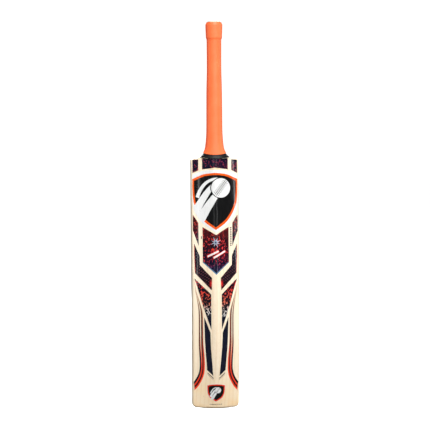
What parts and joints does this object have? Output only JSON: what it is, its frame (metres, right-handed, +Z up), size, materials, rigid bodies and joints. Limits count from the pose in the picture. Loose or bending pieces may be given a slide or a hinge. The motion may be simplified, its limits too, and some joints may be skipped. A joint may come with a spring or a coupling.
{
  "type": "cricket bat",
  "caption": "Full-size cricket bat with a ridged willow blade, a spliced cane handle, a rubber grip and vinyl labels on its back.",
  "frame": {"origin": "middle of the bat's bounding box, at the lowest point of the toe", "axes": "+Z up the bat from the toe to the handle's butt, +Y out of the hitting face, so the ridged back faces -Y, +X to the right when the back is seen with the handle up"},
  "size_m": [0.106, 0.0657, 0.86],
  "materials": {
    "willow": "satin",
    "cane": "satin",
    "insert_rubber": "matte",
    "twine": "matte",
    "black_binding": "satin",
    "grip_rubber": "satin",
    "label_navy": "gloss",
    "label_maroon": "gloss",
    "label_white": "gloss",
    "label_red": "gloss"
  },
  "bodies": {
    "root": {"blade": "willow", "cane_back_left": "cane", "cane_back_centre": "cane", "cane_back_right": "cane", "cane_mid_back_left": "cane", "cane_mid_back_centre": "cane", "cane_mid_back_right": "cane", "cane_mid_front_left": "cane", "cane_mid_front_centre": "cane", "cane_mid_front_right": "cane", "cane_front_left": "cane", "cane_front_centre": "cane", "cane_front_right": "cane", "rubber_strip_back": "insert_rubber", "rubber_strip_middle": "insert_rubber", "rubber_strip_front": "insert_rubber", "twine_binding": "twine", "neck_binding": "black_binding", "grip": "grip_rubber", "shoulder_label_left": "label_navy", "shoulder_label_centre": "label_navy", "shoulder_label_right": "label_navy", "upper_panel_left": "label_navy", "upper_panel_right": "label_navy", "flank_panel_left": "label_navy", "flank_panel_right": "label_navy", "navy_bar_left": "label_navy", "navy_bar_right": "label_navy", "chevron_line_left": "label_navy", "chevron_line_right": "label_navy", "centre_panel": "label_maroon", "wedge_panel_left": "label_maroon", "wedge_panel_right": "label_maroon", "shield_label": "label_white", "toe_badge": "label_white", "edge_stripe_left": "label_red", "edge_stripe_right": "label_red"}
  },
  "joints": []
}
